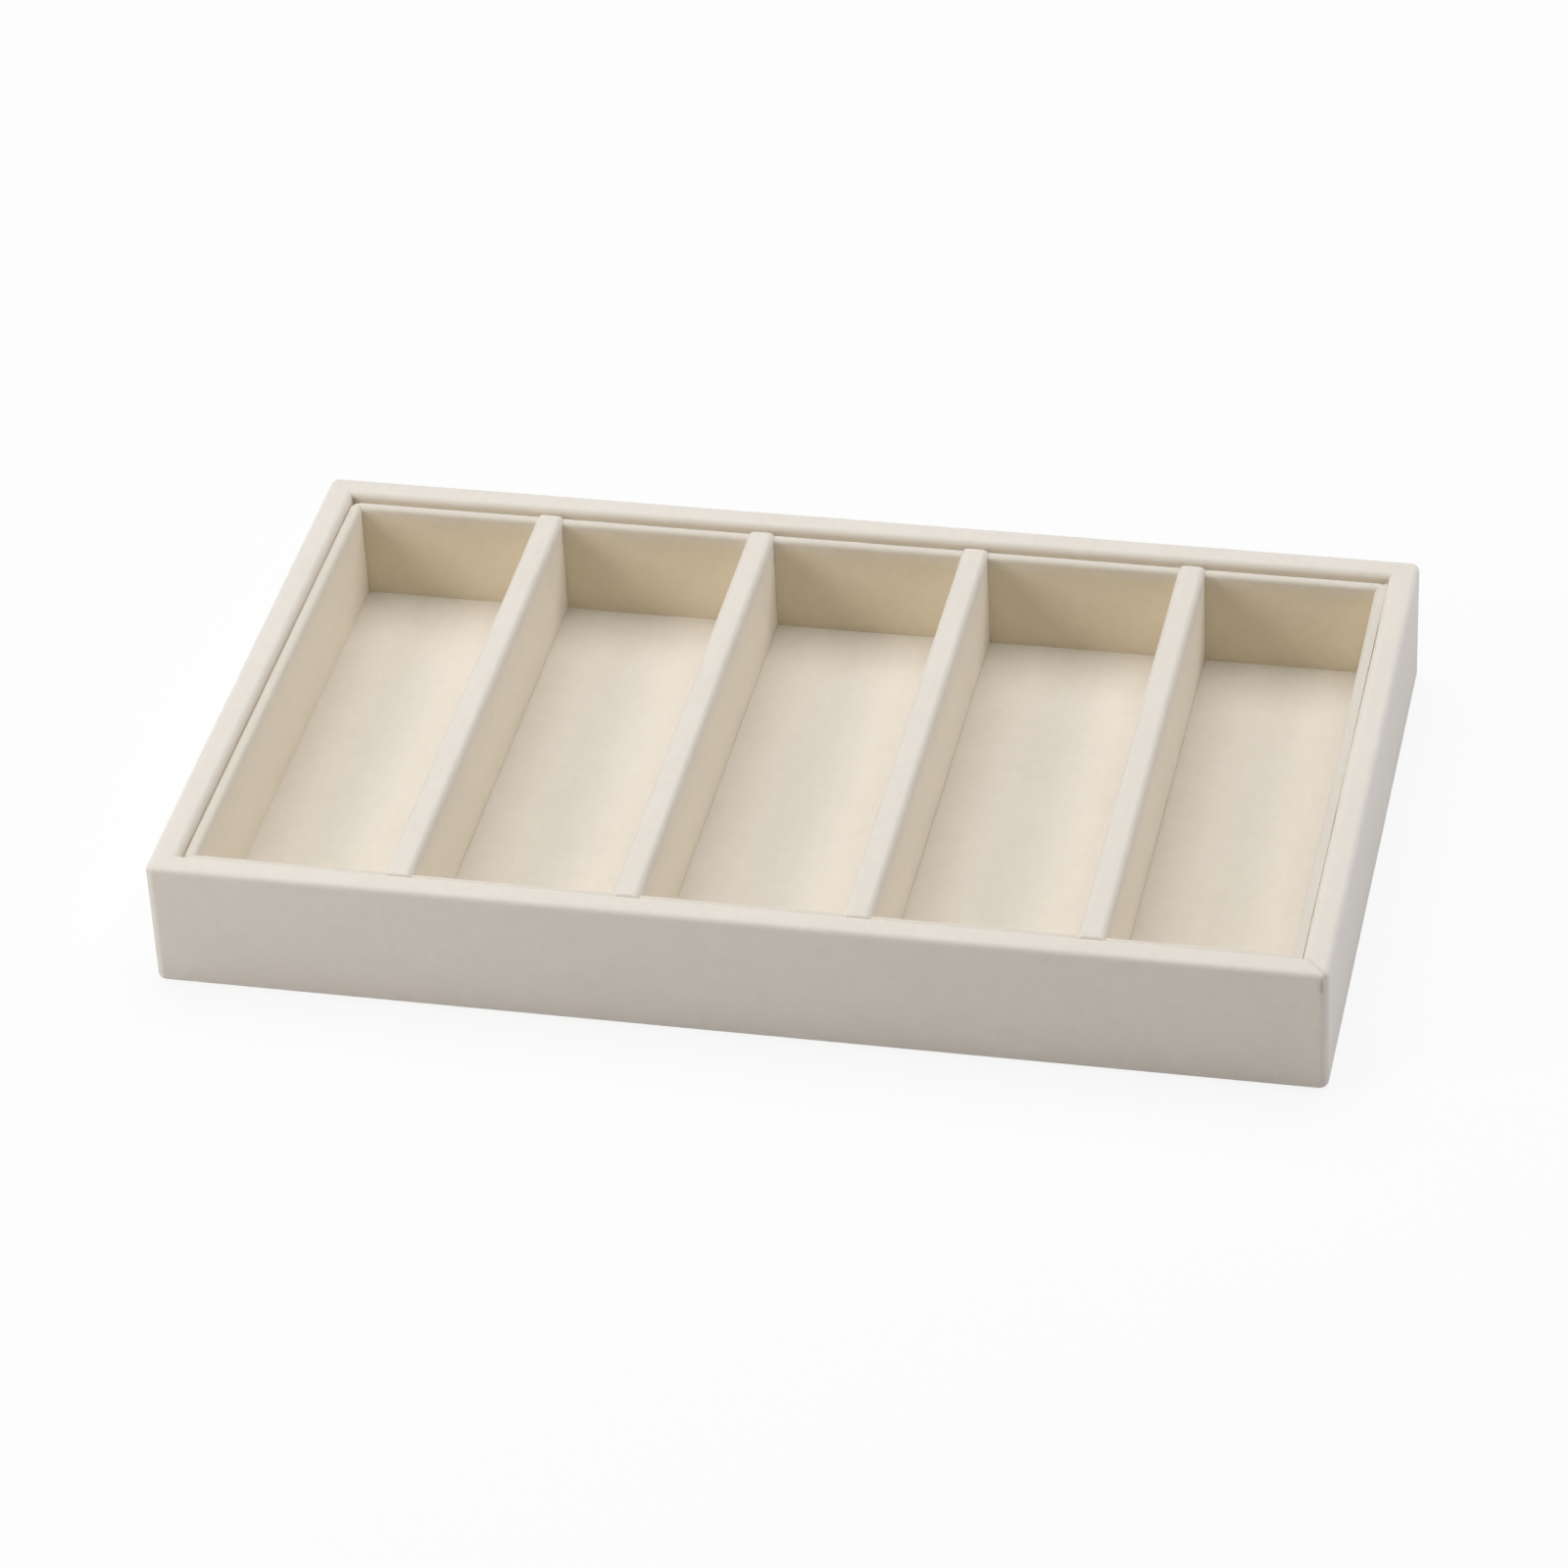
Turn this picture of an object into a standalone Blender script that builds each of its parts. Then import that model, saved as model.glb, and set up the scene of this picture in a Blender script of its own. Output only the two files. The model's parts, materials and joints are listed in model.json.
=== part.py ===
# Eyeglasses display tray: a suede-covered outer tray and a lift-out insert with five compartments.
# Metres, +Z up. The origin is the centre of the underside, +X runs to the right and +Y to the back.
import math

import bmesh
import bpy
from mathutils import Matrix

# Outer tray
TRAY_WIDTH = 0.350
TRAY_DEPTH = 0.215
TRAY_HEIGHT = 0.0415
RIM_WIDTH = 0.0087           # across a covered rail
RIM_ROUND = 0.0018           # rounding of the rim and of the bottom edge
CORNER_ROUND = 0.0022        # rounding of the upright corners, seen from above
HEM_WIDTH = 0.0070           # suede turned in under the rails
RAIL_BEVEL = 0.0008

# Covering and clearances
SUEDE = 0.0009               # thickness of the covering
SEAT_GAP = 0.0003            # between pieces that touch
SEAM_GAP = 0.0003            # across a mitred seam

# Sheets under and inside the tray
UNDERSIDE_SHEET = 0.0007
BASE_BOARD = 0.0018
BASE_LINING = 0.0005

# Insert
PLAY_ACROSS = 0.0006         # between the insert and the tray, on the left and on the right
PLAY_ALONG = 0.0011          # the same at the front and at the back
INSERT_DROP = 0.0020         # how far the insert's walls stay under the rim
INSERT_WALL = 0.0035         # across a covered wall of the insert
INSERT_ROUND = 0.0016        # rounding of the walls' tops
INSERT_BASE = 0.0012
LIFT_CLEARANCE = 0.0074      # under the lifted insert, over the rim

# Dividers
DIVIDER_COUNT = 4
DIVIDER_PITCH = 0.0685
DIVIDER_OFFSET = 0.0021      # the set stands a little right of the insert's middle
DIVIDER_THICKNESS = 0.0086
DIVIDER_RISE = 0.0012        # divider tops over the insert's walls
DIVIDER_ROUND = 0.0020
TAB_HEIGHT = 0.0100          # of the tabs that hang in the walls' notches

# Floor pads
FLOOR_CARD = 0.0011
FLOOR_ROUND = 0.0007
PAD_GAP = 0.0004             # between a pad and what stands around it

ARC_STEPS = 6                # segments in a quarter round
BEVEL_STEPS = 3

# Working values of the modelling itself
SAME_PLACE = 0.000001        # points closer than this are one
LEAST_ROUND = 0.00005        # a rounding is never drawn smaller, nor its wall's flat
CUT_MARGIN = 0.001           # how far a cutter runs past what it cuts
CORNER_MARGIN = 0.010        # how far the corner cutter reaches round the tray
CORNER_STAND_OFF = 0.00002   # keeps the corner cutter off the flat faces

# Heights of the stacked sheets, from the table up
BASE_BOTTOM = UNDERSIDE_SHEET + SEAT_GAP
BASE_TOP = BASE_BOTTOM + BASE_BOARD
LINING_BOTTOM = BASE_TOP + SEAT_GAP
LINING_TOP = LINING_BOTTOM + BASE_LINING
INSERT_BOTTOM = LINING_TOP + SEAT_GAP
INSERT_BASE_TOP = INSERT_BOTTOM + INSERT_BASE
PAD_BOTTOM = INSERT_BASE_TOP + SEAT_GAP
FLOOR_CARD_TOP = PAD_BOTTOM + FLOOR_CARD
FLOOR_TOP = FLOOR_CARD_TOP + SEAT_GAP + SUEDE

# Plan sizes, each the half of a width or a depth
COVER = SUEDE + SEAT_GAP
HALF_WIDTH = TRAY_WIDTH / 2
HALF_DEPTH = TRAY_DEPTH / 2
POCKET_X = HALF_WIDTH - RIM_WIDTH
POCKET_Y = HALF_DEPTH - RIM_WIDTH
INSERT_X = POCKET_X - PLAY_ACROSS
INSERT_Y = POCKET_Y - PLAY_ALONG
ROOM_X = INSERT_X - INSERT_WALL
ROOM_Y = INSERT_Y - INSERT_WALL

# The loose insert lies pushed against the right and the front rails
PUSHED_RIGHT = PLAY_ACROSS - SEAT_GAP
PUSHED_FRONT = PLAY_ALONG - SEAT_GAP

# Tops and steps of the insert's walls and the dividers
INSERT_TOP = TRAY_HEIGHT - INSERT_DROP
DIVIDER_TOP = INSERT_TOP + DIVIDER_RISE
TAB_BOTTOM = DIVIDER_TOP - TAB_HEIGHT
LIFT_TRAVEL = TRAY_HEIGHT - INSERT_BOTTOM + LIFT_CLEARANCE

# The four sides: name, turn about +Z from the front side, half run, half distance to the outer face
TRAY_SIDES = (
    ("front", 0, HALF_WIDTH, HALF_DEPTH),
    ("right", 90, HALF_DEPTH, HALF_WIDTH),
    ("back", 180, HALF_WIDTH, HALF_DEPTH),
    ("left", 270, HALF_DEPTH, HALF_WIDTH),
)
INSERT_SIDES = (
    ("front", 0, INSERT_X, INSERT_Y),
    ("right", 90, INSERT_Y, INSERT_X),
    ("back", 180, INSERT_X, INSERT_Y),
    ("left", 270, INSERT_Y, INSERT_X),
)


def clear_scene():
    for obj in list(bpy.data.objects):
        bpy.data.objects.remove(obj, do_unlink=True)


def make_collection(name):
    collection = bpy.data.collections.new(name)
    bpy.context.scene.collection.children.link(collection)
    return collection


def make_material(name, colour, roughness):
    material = bpy.data.materials.new(name)
    material.use_nodes = True
    shader = material.node_tree.nodes["Principled BSDF"]
    shader.inputs["Base Color"].default_value = (*colour, 1.0)
    shader.inputs["Roughness"].default_value = roughness
    shader.inputs["Metallic"].default_value = 0.0
    material.diffuse_color = (*colour, 1.0)
    return material


def arc(centre_u, centre_v, radius, start, end, steps=ARC_STEPS):
    """Points along a circle from one angle to another, both in degrees."""
    points = []
    for step in range(steps + 1):
        angle = math.radians(start + (end - start) * step / steps)
        points.append((centre_u + radius * math.cos(angle), centre_v + radius * math.sin(angle)))
    return points


def flat_outline(name, outlines, thickness):
    """A 2D curve, filled and extruded, turned into a welded mesh centred on its own plane."""
    curve = bpy.data.curves.new(name, "CURVE")
    curve.dimensions = "2D"
    curve.fill_mode = "BOTH"
    curve.extrude = thickness / 2
    for outline in outlines:
        spline = curve.splines.new("POLY")
        spline.points.add(len(outline) - 1)
        for point, (u, v) in zip(spline.points, outline):
            point.co = (u, v, 0.0, 1.0)
        spline.use_cyclic_u = True
    holder = bpy.data.objects.new(name, curve)
    bpy.context.scene.collection.objects.link(holder)
    mesh = bpy.data.meshes.new_from_object(holder.evaluated_get(bpy.context.evaluated_depsgraph_get()))
    bpy.data.objects.remove(holder, do_unlink=True)
    bpy.data.curves.remove(curve)
    shape = bmesh.new()
    shape.from_mesh(mesh)
    bmesh.ops.remove_doubles(shape, verts=shape.verts, dist=SAME_PLACE)
    if len(outlines) == 1:
        bmesh.ops.dissolve_limit(shape, angle_limit=0.001, verts=shape.verts, edges=shape.edges)
    bmesh.ops.recalc_face_normals(shape, faces=shape.faces)
    shape.to_mesh(mesh)
    shape.free()
    mesh.name = name
    return mesh


def box_mesh(name, size_x, size_y, bottom, top):
    """A box centred in X and Y between two heights."""
    shape = bmesh.new()
    bmesh.ops.create_cube(shape, size=1.0)
    for vert in shape.verts:
        vert.co.x *= size_x
        vert.co.y *= size_y
        vert.co.z = bottom if vert.co.z < 0 else top
    mesh = bpy.data.meshes.new(name)
    shape.to_mesh(mesh)
    shape.free()
    return mesh


def round_edges(mesh, radius, chosen, steps=BEVEL_STEPS):
    """Bevels the edges of a mesh that the function chosen picks by their two ends."""
    shape = bmesh.new()
    shape.from_mesh(mesh)
    edges = [edge for edge in shape.edges if chosen(edge.verts[0].co, edge.verts[1].co)]
    bmesh.ops.bevel(
        shape,
        geom=edges,
        offset=radius,
        segments=steps,
        profile=0.5,
        affect="EDGES",
        clamp_overlap=True,
    )
    shape.to_mesh(mesh)
    shape.free()


def near(first, second):
    return abs(first - second) < SAME_PLACE


def place(name, mesh, collection, material=None, matrix=None, parent=None):
    """Adds a piece. The matrix of a piece with a parent counts from the middle of the insert."""
    obj = bpy.data.objects.new(name, mesh)
    collection.objects.link(obj)
    if material is not None:
        obj.data.materials.clear()
        obj.data.materials.append(material)
    if parent is not None:
        obj.parent = parent
        obj.matrix_parent_inverse = Matrix.Translation((0, 0, -INSERT_BOTTOM))
    if matrix is not None:
        obj.matrix_basis = matrix
    return obj


def smooth(obj, angle=30.0):
    obj.data.shade_smooth()
    obj.data.set_sharp_from_angle(angle=math.radians(angle))


def make_cutter(name, mesh, cutters, matrix=None, parent=None):
    cutter = place(name, mesh, cutters, matrix=matrix, parent=parent)
    cutter.display_type = "WIRE"
    cutter.hide_render = True
    return cutter


def cut(obj, cutter):
    boolean = obj.modifiers.new("cut_" + cutter.name, "BOOLEAN")
    boolean.operation = "DIFFERENCE"
    boolean.solver = "EXACT"
    boolean.object = cutter


def settled_mesh(obj, name):
    """The mesh of an object with its modifiers done, for pieces that share one mesh."""
    bpy.context.view_layer.update()
    evaluated = obj.evaluated_get(bpy.context.evaluated_depsgraph_get())
    mesh = bpy.data.meshes.new_from_object(evaluated)
    mesh.name = name
    bpy.data.objects.remove(obj, do_unlink=True)
    return mesh


def side_matrix(turn, outer_distance):
    """From a section's axes (inward, up, along) to one side of a rectangle round the origin."""
    section_to_front = Matrix(((0, 0, 1, 0), (1, 0, 0, 0), (0, 1, 0, 0), (0, 0, 0, 1)))
    outward = Matrix.Translation((0, -outer_distance, 0))
    return Matrix.Rotation(math.radians(turn), 4, "Z") @ outward @ section_to_front


def sleeve_section(width, top, radius, inner_end, outer_end, hem=0.0):
    """Closed section of a strip folded over a wall: u runs inward from the outer face, v up."""
    bend = min(radius, width / 2 - LEAST_ROUND)
    inside = max(bend - SUEDE, LEAST_ROUND)
    outer_line = [(width, inner_end)]
    outer_line += arc(width - bend, top - bend, bend, 0, 90)
    outer_line += arc(bend, top - bend, bend, 90, 180)
    inner_line = [(width - SUEDE, inner_end)]
    inner_line += arc(width - SUEDE - inside, top - SUEDE - inside, inside, 0, 90)
    inner_line += arc(SUEDE + inside, top - SUEDE - inside, inside, 90, 180)
    if hem > 0:
        outer_line += arc(bend, outer_end + bend, bend, 180, 270)
        outer_line.append((hem, outer_end))
        inner_line += arc(SUEDE + inside, outer_end + SUEDE + inside, inside, 180, 270)
        inner_line.append((hem, outer_end + SUEDE))
    else:
        outer_line.append((0.0, outer_end))
        inner_line.append((SUEDE, outer_end))
    return outer_line + inner_line[::-1]


def mitre_ends(mesh, half_run):
    """Slants both ends of a strip so that it meets its neighbours at 45 degrees."""
    back_off = SEAM_GAP / math.sqrt(2)
    for vert in mesh.vertices:
        reach = half_run - vert.co.x - back_off
        vert.co.z = math.copysign(reach, vert.co.z)


def rounded_rectangle(half_x, half_y, radius):
    outline = []
    for sign_x, sign_y, start in ((1, 1, 0), (-1, 1, 90), (-1, -1, 180), (1, -1, 270)):
        outline += arc(sign_x * (half_x - radius), sign_y * (half_y - radius), radius, start, start + 90)
    return outline


def corner_cutter(cutters):
    """A frame that stands just outside the tray's faces and rounds off its upright corners."""
    inner_x = HALF_WIDTH + CORNER_STAND_OFF
    inner_y = HALF_DEPTH + CORNER_STAND_OFF
    inner = rounded_rectangle(inner_x, inner_y, CORNER_ROUND)
    far_x = HALF_WIDTH + CORNER_MARGIN
    far_y = HALF_DEPTH + CORNER_MARGIN
    outer = [(far_x, far_y), (-far_x, far_y), (-far_x, -far_y), (far_x, -far_y)]
    mesh = flat_outline("corner_cutter", (outer, inner), TRAY_HEIGHT + 2 * CORNER_MARGIN)
    return make_cutter("corner_cutter", mesh, cutters, Matrix.Translation((0, 0, TRAY_HEIGHT / 2)))


def build_tray_wraps(tray, cutters, suede):
    trimmer = corner_cutter(cutters)
    section = sleeve_section(RIM_WIDTH, TRAY_HEIGHT, RIM_ROUND, LINING_BOTTOM, 0.0, HEM_WIDTH)
    for side, turn, half_run, outer_distance in TRAY_SIDES:
        mesh = flat_outline(side + "_wrap", (section,), 2 * half_run)
        mitre_ends(mesh, half_run)
        wrap = place(side + "_wrap", mesh, tray, suede, side_matrix(turn, outer_distance))
        cut(wrap, trimmer)
        smooth(wrap)


def build_rails(tray, fibreboard):
    """Front and back rails run the whole width; the side rails stand between them."""
    thickness = RIM_WIDTH - 2 * COVER
    bottom = COVER
    top = TRAY_HEIGHT - COVER
    middle = COVER + thickness / 2
    long_run = TRAY_WIDTH - 2 * COVER
    short_run = TRAY_DEPTH - 2 * (COVER + thickness + SEAT_GAP)
    for side, turn, _, outer_distance in TRAY_SIDES:
        run = long_run if side in ("front", "back") else short_run
        mesh = box_mesh(side + "_rail", run, thickness, bottom, top)
        round_edges(mesh, RAIL_BEVEL, lambda a, b: near(a.y, b.y) and near(a.z, b.z))
        turned = Matrix.Rotation(math.radians(turn), 4, "Z")
        outward = Matrix.Translation((0, middle - outer_distance, 0))
        smooth(place(side + "_rail", mesh, tray, fibreboard, turned @ outward))


def build_sheets(tray, fibreboard, felt, lining):
    """The bottom of the tray: felt below, the board between the rails, the lining on top."""
    hem_room = HEM_WIDTH + SEAT_GAP
    underside = box_mesh(
        "underside_sheet", TRAY_WIDTH - 2 * hem_room, TRAY_DEPTH - 2 * hem_room, 0.0, UNDERSIDE_SHEET
    )
    place("underside_sheet", underside, tray, felt)
    board_room = RIM_WIDTH - COVER + SEAT_GAP
    board = box_mesh(
        "base_board", TRAY_WIDTH - 2 * board_room, TRAY_DEPTH - 2 * board_room, BASE_BOTTOM, BASE_TOP
    )
    place("base_board", board, tray, fibreboard)
    sheet = box_mesh(
        "base_lining", 2 * (POCKET_X - SEAT_GAP), 2 * (POCKET_Y - SEAT_GAP), LINING_BOTTOM, LINING_TOP
    )
    place("base_lining", sheet, tray, lining)


def divider_places():
    """Where the dividers stand, counted to the right from the middle of the insert."""
    first = DIVIDER_OFFSET - DIVIDER_PITCH * (DIVIDER_COUNT - 1) / 2
    return [first + DIVIDER_PITCH * index for index in range(DIVIDER_COUNT)]


def notch_cutters(cutters, lift):
    """Boxes that open a notch for each divider's tab in the insert's front and back walls."""
    width = DIVIDER_THICKNESS + 2 * SEAT_GAP
    depth = INSERT_WALL + 2 * CUT_MARGIN
    bottom = TAB_BOTTOM - SEAT_GAP
    top = TRAY_HEIGHT + CUT_MARGIN
    found = {}
    for side, sign in (("front", -1), ("back", 1)):
        middle_y = sign * (INSERT_Y - INSERT_WALL / 2)
        boxes = []
        for number, place_x in enumerate(divider_places(), start=1):
            name = "notch_{}_{}".format(side, number)
            mesh = box_mesh(name, width, depth, bottom, top)
            spot = Matrix.Translation((place_x, middle_y, 0))
            boxes.append(make_cutter(name, mesh, cutters, spot, lift))
        found[side] = boxes
    return found


def build_insert_walls(tray, cutters, lift, suede, card):
    notches = notch_cutters(cutters, lift)
    section = sleeve_section(INSERT_WALL, INSERT_TOP, INSERT_ROUND, PAD_BOTTOM, INSERT_BOTTOM)
    thickness = INSERT_WALL - 2 * COVER
    long_run = 2 * (INSERT_X - COVER)
    short_run = 2 * (INSERT_Y - COVER - thickness - SEAT_GAP)
    for side, turn, half_run, outer_distance in INSERT_SIDES:
        name = "insert_" + side
        mesh = flat_outline(name + "_wrap", (section,), 2 * half_run)
        mitre_ends(mesh, half_run)
        wrap = place(name + "_wrap", mesh, tray, suede, side_matrix(turn, outer_distance), lift)
        run = long_run if side in ("front", "back") else short_run
        board_mesh = box_mesh(name + "_board", run, thickness, PAD_BOTTOM, INSERT_TOP - COVER)
        turned = Matrix.Rotation(math.radians(turn), 4, "Z")
        outward = Matrix.Translation((0, COVER + thickness / 2 - outer_distance, 0))
        board = place(name + "_board", board_mesh, tray, card, turned @ outward, lift)
        for notch in notches.get(side, ()):
            cut(wrap, notch)
            cut(board, notch)
        smooth(wrap)


def build_insert_base(tray, lift, card):
    size_x = 2 * (INSERT_X - COVER)
    size_y = 2 * (INSERT_Y - COVER)
    mesh = box_mesh("insert_base", size_x, size_y, INSERT_BOTTOM, INSERT_BASE_TOP)
    place("insert_base", mesh, tray, card, parent=lift)


def tabbed_board(name, thickness, inset, bottom, bevel, tray, cutters):
    """A divider's shape, drawn in by an inset: a board with a tab at the top of each end."""
    body = ROOM_Y - SEAT_GAP - inset
    tab = INSERT_Y - inset
    shoulder = TAB_BOTTOM + inset
    top = DIVIDER_TOP - inset

    def top_or_end(first, second):
        on_top = near(first.z, top) and near(second.z, top)
        upright = near(first.x, second.x) and near(first.y, second.y)
        return on_top or upright

    mesh = box_mesh(name, thickness, 2 * tab, bottom, top)
    round_edges(mesh, bevel, top_or_end)
    board = place(name, mesh, tray)
    step = tab - body + CUT_MARGIN
    step_width = thickness + 2 * CUT_MARGIN
    for end, sign in (("front", -1), ("back", 1)):
        step_name = "{}_step_{}".format(name, end)
        under_tab = box_mesh(step_name, step_width, step, bottom - CUT_MARGIN, shoulder)
        spot = Matrix.Translation((0, sign * (body + step / 2), 0))
        cut(board, make_cutter(step_name, under_tab, cutters, spot))
    return settled_mesh(board, name)


def build_dividers(tray, cutters, lift, suede, fibreboard):
    rounding = min(DIVIDER_ROUND, DIVIDER_THICKNESS / 2 - LEAST_ROUND)
    void_round = max(rounding - SUEDE, LEAST_ROUND)
    core_round = max(rounding - COVER, LEAST_ROUND)
    core_width = DIVIDER_THICKNESS - 2 * COVER
    void_width = DIVIDER_THICKNESS - 2 * SUEDE
    below = PAD_BOTTOM - CUT_MARGIN
    core_mesh = tabbed_board("divider_core", core_width, COVER, PAD_BOTTOM, core_round, tray, cutters)
    outer_mesh = tabbed_board("divider_outer", DIVIDER_THICKNESS, 0.0, PAD_BOTTOM, rounding, tray, cutters)
    void_mesh = tabbed_board("divider_void", void_width, SUEDE, below, void_round, tray, cutters)
    sleeve = place("divider_sleeve", outer_mesh, tray)
    cut(sleeve, make_cutter("divider_void", void_mesh, cutters))
    wrap_mesh = settled_mesh(sleeve, "divider_wrap")
    for number, place_x in enumerate(divider_places(), start=1):
        spot = Matrix.Translation((place_x, 0, 0))
        smooth(place("divider_core_{}".format(number), core_mesh, tray, fibreboard, spot, lift))
        smooth(place("divider_wrap_{}".format(number), wrap_mesh, tray, suede, spot, lift))


def compartments():
    """Low and high X of each compartment, between the insert's walls and the dividers."""
    edges = [-ROOM_X]
    for place_x in divider_places():
        edges.append(place_x - DIVIDER_THICKNESS / 2)
        edges.append(place_x + DIVIDER_THICKNESS / 2)
    edges.append(ROOM_X)
    return list(zip(edges[::2], edges[1::2]))


def build_floor_pads(tray, cutters, lift, suede, card):
    for number, (low, high) in enumerate(compartments(), start=1):
        width = high - low - 2 * PAD_GAP
        depth = 2 * (ROOM_Y - PAD_GAP)
        spot = Matrix.Translation(((low + high) / 2, 0, 0))
        card_name = "floor_card_{}".format(number)
        card_mesh = box_mesh(card_name, width - 2 * COVER, depth - 2 * COVER, PAD_BOTTOM, FLOOR_CARD_TOP)
        place(card_name, card_mesh, tray, card, spot, lift)
        void_name = "floor_void_{}".format(number)
        void_mesh = box_mesh(
            void_name, width - 2 * SUEDE, depth - 2 * SUEDE, PAD_BOTTOM - CUT_MARGIN, FLOOR_TOP - SUEDE
        )
        void = make_cutter(void_name, void_mesh, cutters, spot, lift)
        suede_name = "floor_suede_{}".format(number)
        suede_mesh = box_mesh(suede_name, width, depth, PAD_BOTTOM, FLOOR_TOP)
        round_edges(suede_mesh, FLOOR_ROUND, lambda a, b: near(a.z, FLOOR_TOP) and near(b.z, FLOOR_TOP))
        pad = place(suede_name, suede_mesh, tray, suede, spot, lift)
        cut(pad, void)
        smooth(pad)


def lift_axis(tray):
    """The insert's parent: an arrow on the upright axis, as long as the insert's way out."""
    lift = bpy.data.objects.new("insert_lift", None)
    lift.empty_display_type = "SINGLE_ARROW"
    lift.empty_display_size = LIFT_TRAVEL
    lift.location = (PUSHED_RIGHT, -PUSHED_FRONT, INSERT_BOTTOM)
    tray.objects.link(lift)
    bpy.context.view_layer.update()
    return lift


def main():
    clear_scene()
    tray = make_collection("eyeglasses_display_tray")
    cutters = make_collection("cutters")
    tray_suede = make_material("tray_suede", (0.79, 0.73, 0.64), 0.92)
    insert_suede = make_material("insert_suede", (0.80, 0.74, 0.63), 0.92)
    fibreboard = make_material("fibreboard", (0.42, 0.30, 0.18), 0.80)
    card = make_material("card", (0.50, 0.46, 0.40), 0.85)
    felt = make_material("underside_felt", (0.62, 0.57, 0.49), 0.95)
    lining = make_material("base_lining", (0.72, 0.66, 0.56), 0.90)
    build_tray_wraps(tray, cutters, tray_suede)
    build_rails(tray, fibreboard)
    build_sheets(tray, fibreboard, felt, lining)
    lift = lift_axis(tray)
    build_insert_walls(tray, cutters, lift, insert_suede, card)
    build_insert_base(tray, lift, card)
    build_dividers(tray, cutters, lift, insert_suede, fibreboard)
    build_floor_pads(tray, cutters, lift, insert_suede, card)


main()
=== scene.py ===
# Eyeglasses display tray in cream suede: an outer tray of covered rails and a lift-out insert.
# Metres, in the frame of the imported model: +X right, +Y back, +Z up, origin under the middle.
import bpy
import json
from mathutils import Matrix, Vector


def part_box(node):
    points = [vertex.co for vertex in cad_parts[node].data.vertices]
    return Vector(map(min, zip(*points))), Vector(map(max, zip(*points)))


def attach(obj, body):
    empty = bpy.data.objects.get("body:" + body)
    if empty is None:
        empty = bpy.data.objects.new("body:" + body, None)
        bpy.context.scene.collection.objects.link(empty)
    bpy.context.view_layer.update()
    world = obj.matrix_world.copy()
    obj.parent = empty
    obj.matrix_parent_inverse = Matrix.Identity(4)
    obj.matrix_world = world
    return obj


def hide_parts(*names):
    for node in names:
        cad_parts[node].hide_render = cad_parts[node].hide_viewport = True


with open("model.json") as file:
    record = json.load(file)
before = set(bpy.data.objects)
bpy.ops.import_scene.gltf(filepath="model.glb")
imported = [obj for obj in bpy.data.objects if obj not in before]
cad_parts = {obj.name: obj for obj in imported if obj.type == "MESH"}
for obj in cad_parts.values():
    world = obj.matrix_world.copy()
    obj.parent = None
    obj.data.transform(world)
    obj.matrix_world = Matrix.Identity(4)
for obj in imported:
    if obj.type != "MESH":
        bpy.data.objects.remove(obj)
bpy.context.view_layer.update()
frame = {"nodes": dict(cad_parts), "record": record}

import json
import math

import bmesh
import bpy
from mathutils import Matrix, Vector, noise

print("tray: frame loaded,", len(frame["nodes"]), "nodes")

tiny = 1e-6                  # places nearer than this are the same place

# what all the covering shares
cloth = {
    "thickness": 0.0009,
    "nap": 0.00008,          # the nap is pressed this far under the model's faces
    "seamGap": 0.000001,     # half the gap in a mitred seam
    "touch": 0.00006,        # left between pieces that press on each other
    "bendSteps": 7,
    "stretch": 0.0036,       # longest face on a straight stretch
    "cornerZone": 0.0120,    # where the faces turn towards the mitre
    "notchClear": 0.0012,    # no other faces start this near a notch's edge
    "upright": 0.7,          # cloth that looks up less than this is bent round the corner
}

# shares of the corner zone where faces meet: finer towards the seam, and more of them beside the slit
zoneShares = (0.0, 0.2, 0.4, 0.58, 0.72, 0.8, 0.86, 0.91, 0.945, 0.965, 0.98, 0.99, 0.996, 1.0)
slitShares = (0.815, 0.825, 0.835, 0.845, 0.852, 0.868, 0.876, 0.886, 0.896)

# how far the cloth rolls in at a corner's seam: only the front right one has opened, along its top
seam = {
    "roll": 0.00002,
    "openRoll": 0.00009,
    "rollDepth": 0.9,        # of the roll, at the cloth's very edge
    "openCorner": "frontRight",
    "openAbove": 0.0385,
    "openFade": 0.0025,      # from closed to open over this height
    # the colour darkens near an opened seam and in the slit, partly dust and partly painted shade
    "dustAndShadeReach": 0.0010,
    "slitDustAndShade": 0.0003,      # a slit this deep gets as much dust and painted shade as the open seam
}

# the pile swells out into the groove between the tray and the insert, between these heights
swell = {"top": 0.0407, "full": 0.0391, "fading": 0.0280, "gone": 0.0180, "seamReach": 0.0022}
grooveLevels = [swell["top"] + (swell["full"] - swell["top"]) * step / 3 for step in range(4)]

# slow and quick waves in the pile, which calm down where the cloth stands on something
unevenness = {
    "slow": 0.00008,
    "slowScale": 34.0,
    "quick": 0.00003,
    "quickScale": 170.0,
    "quickShift": Vector((7.3, 1.9, 4.1)),
    "calmReach": 0.003,
}

sideTurns = {"front": 0, "right": 90, "back": 180, "left": 270}
cornersOf = {
    "front": ("frontLeft", "frontRight"),
    "right": ("frontRight", "backRight"),
    "back": ("backRight", "backLeft"),
    "left": ("backLeft", "frontLeft"),
}


# helpers for shapes


def asShare(value):
    return min(1.0, max(0.0, value))


def isLong(sideName):
    return sideName in ("front", "back")


def newCloth():
    # every point of the cloth is marked with its fold, its opened seam and its depth below the top, which
    # the materials turn into wear, dust, painted shade and painted light
    shape = bmesh.new()
    return shape, [shape.verts.layers.float.new(mark) for mark in ("fold", "seam", "shadingDepth")]


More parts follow.
